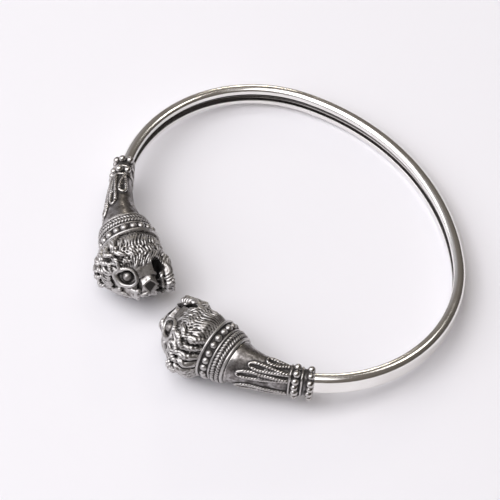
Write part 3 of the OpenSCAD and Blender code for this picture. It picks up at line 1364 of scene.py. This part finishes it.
    def eyes(self, casting: Casting) -> None:
        """Adds the ring of brow and cheekbone round each eye, the cheeks and the forehead."""
        forehead = (1.6, 0, 5.2)
        casting.ball(forehead, (2.6, 2.6, 1.9), 4)
        ring = [
            (2.9, 1.15, 7.4),
            (3.45, 1.0, 7.0),
            (4.05, 1.3, 6.1),
            (4.3, 2.1, 5.0),
            (3.05, 3.1, 5.4),
            (1.9, 3.2, 6.0),
            (1.3, 2.85, 6.9),
            (1.05, 2.15, 7.9),
            (2.15, 1.2, 7.85),
            (2.9, 1.15, 7.4),
        ]
        sizes = [0.32, 0.36, 0.45, 0.52, 0.48, 0.38, 0.32, 0.28, 0.28, 0.32]
        for side in (1, -1):
            casting.link(self.mirrored(ring, side), sizes, rounding=12)
            cheek = (0.5, side * 2.5, 5.4)
            casting.ball(cheek, (1.5, 1.1, 1.4))
            brow = [(3.6, 0.5, 6.6), (3.9, 1.2, 6.1)]
            casting.link(self.mirrored(brow, side), [0.4, 0.5])

    def jaw(self, casting: Casting) -> None:
        """Adds the lower jaw, its lip, teeth and tongue, and the hair on it and under it."""
        for side in (1, -1):
            bar = [(-3.9, 1.9, 4.6), (-4.05, 1.45, 6.8), (-3.95, 0.75, 8.3)]
            casting.link(self.mirrored(bar, side), [0.95, 0.82, 0.68])
            lip = [(-3.0, 2.05, 6.9), (-2.8, 1.65, 7.6), (-2.8, 0.7, 8.7)]
            casting.link(self.mirrored(lip, side), [0.3, 0.3, 0.26])
            for up, forward, tip in ((1.35, 7.7, -1.85), (0.65, 8.35, -1.9)):
                tooth = [(-3.1, up, forward), (tip, up, forward)]
                casting.link(self.mirrored(tooth, side), [0.24, 0.14])
        chin, floor, tongue = (-4.0, 0, 8.1), (-3.95, 0, 6.0), (-2.75, 0, 6.9)
        casting.ball(chin, (0.8, 0.9, 0.75))
        casting.ball(floor, (0.95, 1.3, 2.2))
        casting.ball(tongue, (0.3, 0.75, 1.4))
        for spread in np.linspace(-1.9, 1.9, 9):
            self.beard_strand(casting, float(spread))
        for k in range(self.jaw_curls):
            for side in (1, -1):
                self.jaw_curl(casting, (k + 0.5) / self.jaw_curls, side)

    def jaw_curl(self, casting: Casting, share: float, side: int) -> None:
        """Adds one short curl of hair across a side of the jaw, share of the way to its tip."""
        turn = np.linspace(-0.4, 1.5, 9)
        reach = lerp(1.0, 0.75, share) + 0.06
        out = -3.95 + reach * np.cos(turn + math.pi / 2) * 0.95
        up = side * (lerp(1.95, 0.75, share) + reach * np.sin(turn + math.pi / 2) * 0.9)
        path = np.column_stack([out, up, lerp(4.25, 8.4, share) + 0.55 * turn - 0.3])
        casting.add(tube_shell(path, self.vary.uniform(0.12, 0.19), 7))

    def beard_strand(self, casting: Casting, spread: float) -> None:
        """Adds one wavy strand of the beard, which starts at spread from the middle."""
        share = np.linspace(0, 1, 20)
        out = lerp(-4.35, -4.55, share) - 0.2 * np.sin(share * math.pi) + 0.1 * abs(spread)
        up = spread * lerp(1.0, 0.42, share) + 0.1 * np.sin(share * 11 + spread * 5)
        path = np.column_stack([out, up, lerp(3.6, 8.95 - 0.15 * abs(spread), share)])
        ripple = 1 + 0.22 * np.sin(share * 34 + spread * 3)
        casting.add(tube_shell(path, np.linspace(0.36, 0.24, 20) * ripple, 8))

    def hollows(self) -> Mesh:
        """Returns the mouth, its corners, the eye sockets and nostrils as one closed cutter."""
        casting = Casting("hollows")
        corner = [(-2.4, 4.2, 5.75), (-2.5, 4.2, 6.25)]
        self.block(casting, self.both(corner), 0.82)
        slit = [(-2.35, 3.4, 6.6), (-2.3, 2.6, 9.8)]
        self.block(casting, self.both(slit), 0.24)
        out, up, forward = self.eye
        for side in (1, -1):
            casting.ball((out, side * (up + 0.3), forward + 0.3), (1.05, 0.9, 1.2))
            nostril = (1.35, side * 0.62, 9.3)
            casting.ball(nostril, (0.2, 0.24, 0.4))
        return casting.fuse(self.voxel)

    def cast(self) -> Mesh:
        """Returns the fused head with combed grooves in its mane."""
        outer = Casting("lion_head")
        self.mane(outer)
        self.eyes(outer)
        self.muzzle(outer)
        body = outer.fuse(self.voxel)
        cutter = new_object("cutter", self.hollows())
        cut = through_modifier(
            body, "BOOLEAN", operation="DIFFERENCE", object=cutter, solver="MANIFOLD"
        )
        bpy.data.objects.remove(cutter)
        whole = Casting("lion_head")
        whole.add((read_points(cut), [tuple(f.vertices) for f in cut.polygons]))
        bpy.data.meshes.remove(cut)
        for eye in self.both([self.eye]):
            whole.ball(eye, self.eye_size)
        self.jaw(whole)
        mesh = whole.fuse(self.voxel)
        self.comb(mesh)
        return mesh

    def shade(self, points: np.ndarray) -> np.ndarray:
        """Returns painted shade in the mouth's corners, between the lips and in the eye sockets,
        darker eyeballs, and the pads' painted reflection.
        """
        out, up, forward = points.T
        up = np.abs(up)
        # Painted shade: the mouth's corner hole and the slit between the lips, which lie in
        # shadow, are darkened
        corner = np.hypot(out - self.mouth_corner[0], (forward - self.mouth_corner[1]) * 0.85)
        dark = fade(corner, 1.05, 0.15) * fade(up, 3.0, 0.3)
        edge = np.interp(forward, [6.6, 8.0, 8.6, 9.2], [2.2, 1.75, 1.1, 0.4])
        between = (np.abs(out + 2.36) < 0.42) & (forward > 6.6) & (up < edge)
        # Painted shade in the eye sockets round the balls; the eyeballs themselves are made
        # somewhat darker
        x, y, z = self.eye
        away = np.sqrt((out - x) ** 2 + (up - y) ** 2 + (forward - z) ** 2)
        ball = fade(away, self.eye_size + 0.06, 0.06)
        socket = (1 - ball) * fade(away, 1.15, 0.1)
        return np.maximum.reduce(
            [dark * 0.9, between * 0.6, socket * 0.5, ball * 0.24, self.pad_shade(points)]
        )

    def pad_shade(self, points: np.ndarray) -> np.ndarray:
        """Returns a painted dark reflection on the two flat whisker pads, inside their worn edges.
        """
        spots = np.abs(points * [0, 1, 0]) + points * [1, 0, 1]
        kite = np.array(self.kite)
        middle = kite.mean(axis=0)
        normal = np.cross(kite[2] - kite[0], kite[1] - kite[3])
        normal /= np.linalg.norm(normal)
        inside = fade(np.abs((spots - middle) @ normal), 0.5, 0.1)
        for k in range(4):
            inward = np.cross(kite[(k + 1) % 4] - kite[k], normal)
            inward *= np.sign(inward @ (middle - kite[k])) / np.linalg.norm(inward)
            inside *= 1 - fade((spots - kite[k]) @ inward, 0.24, 0.1)
        # The flat faces are painted darker to stand in for the dark room that they reflect
        return inside * 0.3

    def comb(self, mesh: Mesh) -> None:
        """Presses fine hair lines into the mane and leaves the face smooth."""
        points, normals = read_points(mesh), read_normals(mesh)
        x, y, z = points.T
        turn = np.arctan2(y, x - self.mane_middle)
        reach = np.hypot(x - self.mane_middle, y)
        lines = np.sin(self.grooves * turn + 5 * np.sin(z * 1.7 + 2.0 * turn))
        face = (z > 5.7) & (x > -2.6) | (x > 3.2) & (z > 5.0)
        amount = np.where(face, 0.0, self.groove) * np.clip(reach - 3.0, 0, 1)
        amount = Smoother(mesh).times(amount[:, None], 6)
        write_points(mesh, points + normals * amount * (lines[:, None] - 0.4))


# Stage, lights and camera


@dataclass(frozen=True)
class SoftBox:
    """A soft lamp: its direction in degrees, its distance and sides in metres, power and tint."""

    name: str
    heading: float
    rise: float
    reach: float
    wide: float
    high: float
    power: float
    tint: tuple[float, float, float]


SOFT_BOXES = (
    SoftBox("window", 235, 40, 0.9, 0.9, 0.55, 2.75, (1.0, 0.99, 1.0)),
    SoftBox("ceiling", 252, 73, 0.9, 0.85, 0.85, 5.5, (1.0, 0.99, 1.0)),
    SoftBox("lamp", 140, 27, 0.9, 0.14, 0.12, 0.4, (1.0, 0.93, 0.8)),
    SoftBox("back", 95, 60, 0.9, 0.22, 0.16, 0.5, (1.0, 0.96, 0.9)),
)

# The room's tones from its dark side to the window's side
ROOM_TONES = (
    (0.0, (0.075, 0.066, 0.06, 1)),
    (0.35, (0.135, 0.12, 0.105, 1)),
    (0.62, (0.18, 0.16, 0.145, 1)),
    (1.0, (0.62, 0.62, 0.66, 1)),
)


@dataclass(frozen=True)
class Studio:
    """The pale surface, the soft lights and the camera at the photograph's angle."""

    aim: tuple[float, float, float] = (-3.09, -3.168, 0.0)
    distance: float = 450.0
    elevation: float = 56.0
    heading: float = 144.0
    focal_pixels: float = 2810.0
    picture: int = 500
    sensor: float = 36.0
    window_heading: float = 240.0
    window_rise: float = 0.35
    paper: tuple[Colour, Colour] = ((0.87, 0.86, 0.895, 1), (0.89, 0.88, 0.915, 1))

    def camera(self) -> Object:
        """Adds the camera and makes it the scene's own."""
        lens = bpy.data.cameras.new("camera")
        lens.sensor_width = self.sensor
        lens.lens = self.focal_pixels * self.sensor / self.picture
        lens.clip_start, lens.clip_end = 0.01, 20
        camera = new_object("camera", lens)
        up, turn = math.radians(self.elevation), math.radians(self.heading)
        aim = Vector(self.aim) * MM
        flat = math.cos(up)
        back = Vector((-math.cos(turn) * flat, -math.sin(turn) * flat, math.sin(up)))
        camera.location = aim + back * self.distance * MM
        camera.rotation_euler = (-back).to_track_quat("-Z", "Y").to_euler()
        bpy.context.scene.camera = camera
        return camera

    def lamp(self, box: SoftBox) -> None:
        """Adds a soft box that faces the bangle."""
        light = bpy.data.lights.new(box.name, "AREA")
        light.shape = "RECTANGLE"
        light.size, light.size_y = box.wide, box.high
        light.energy, light.color = box.power, box.tint
        lamp = new_object(box.name, light)
        turn, rise = math.radians(box.heading), math.radians(box.rise)
        flat = math.cos(rise) * box.reach
        lamp.location = (flat * math.cos(turn), flat * math.sin(turn), math.sin(rise) * box.reach)
        lamp.rotation_euler = (-lamp.location).to_track_quat("-Z", "Y").to_euler()

    def world(self) -> None:
        """Adds the dim room round the bangle: lighter on the window's side, dark on the other."""
        world = bpy.data.worlds.new("room")
        bpy.context.scene.world = world
        world.use_nodes = True
        tree = world.node_tree
        turn = math.radians(self.window_heading)
        place = add_node(tree, "ShaderNodeTexCoord").outputs["Generated"]
        wiring = {0: place, 1: (math.cos(turn), math.sin(turn), self.window_rise)}
        toward = add_node(tree, "ShaderNodeVectorMath", wiring, operation="DOT_PRODUCT")
        share = remap(tree, toward.outputs["Value"], low=-1.0)
        tones = add_node(tree, "ShaderNodeValToRGB", {"Fac": share})
        ramp = tones.color_ramp.elements
        for element, (position, colour) in zip(ramp, (ROOM_TONES[0], ROOM_TONES[-1])):
            element.position, element.color = position, colour
        for position, colour in ROOM_TONES[1:-1]:
            ramp.new(position).color = colour
        wiring = {"Color": tones.outputs["Color"], "Strength": 1.0}
        connect(tree, tree.nodes["Background"], wiring)

    def surface(self) -> Object:
        """Adds the pale surface that the bangle lies on."""
        bm = bmesh.new()
        bmesh.ops.create_grid(bm, x_segments=8, y_segments=8, size=1.2)
        mesh = bpy.data.meshes.new("surface")
        bm.to_mesh(mesh)
        bm.free()
        material, shader = new_material("pale_paper")
        tree = material.node_tree
        place = add_node(tree, "ShaderNodeTexCoord").outputs["Object"]
        tone = blend(tree, noise(tree, place, 9.0, 2.0), *self.paper)
        wiring = {"Base Color": tone, "Roughness": 0.9, "Specular IOR Level": 0.1}
        connect(tree, shader, wiring)
        mesh.materials.append(material)
        surface = new_object("surface", mesh)
        return surface

    def build(self) -> None:
        """Adds the surface, the lights and the camera."""
        self.surface()
        self.world()
        for box in SOFT_BOXES:
            self.lamp(box)
        bpy.context.scene.view_settings.view_transform = "Standard"
        self.camera()


# The whole


def main() -> None:
    """Loads the frame, builds each piece in order and adds the studio."""
    logging.basicConfig(level=logging.INFO, format="%(name)s: %(message)s")
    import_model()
    axis, rest = EndAxis(), Rest()
    silver = PolishedSilver().build(wear_group())
    patina = patina_group()
    aged = AgedSilver().build(patina)
    burnished = AgedSilver(
        "burnished_silver",
        bump=0.000004,
        worn_silver=(0.54, 0.52, 0.505, 1),
        low=0.36,
        high=0.78,
        blotch_size=900.0,
        worn_roughness=0.1,
        oxide_roughness=0.5,
    )
    necks = burnished.build(patina)
    Band(axis, rest).build(silver)
    LOG.info("band built")
    ends = ((Socket(axis, rest), necks), (Collar(axis, rest), aged), (LionHead(axis, rest), aged))
    for piece, finish in ends:
        piece.build(finish)
        LOG.info("%s built", piece.node())
    Studio().build()
    LOG.info("studio built")


if __name__ == "__main__":
    main()
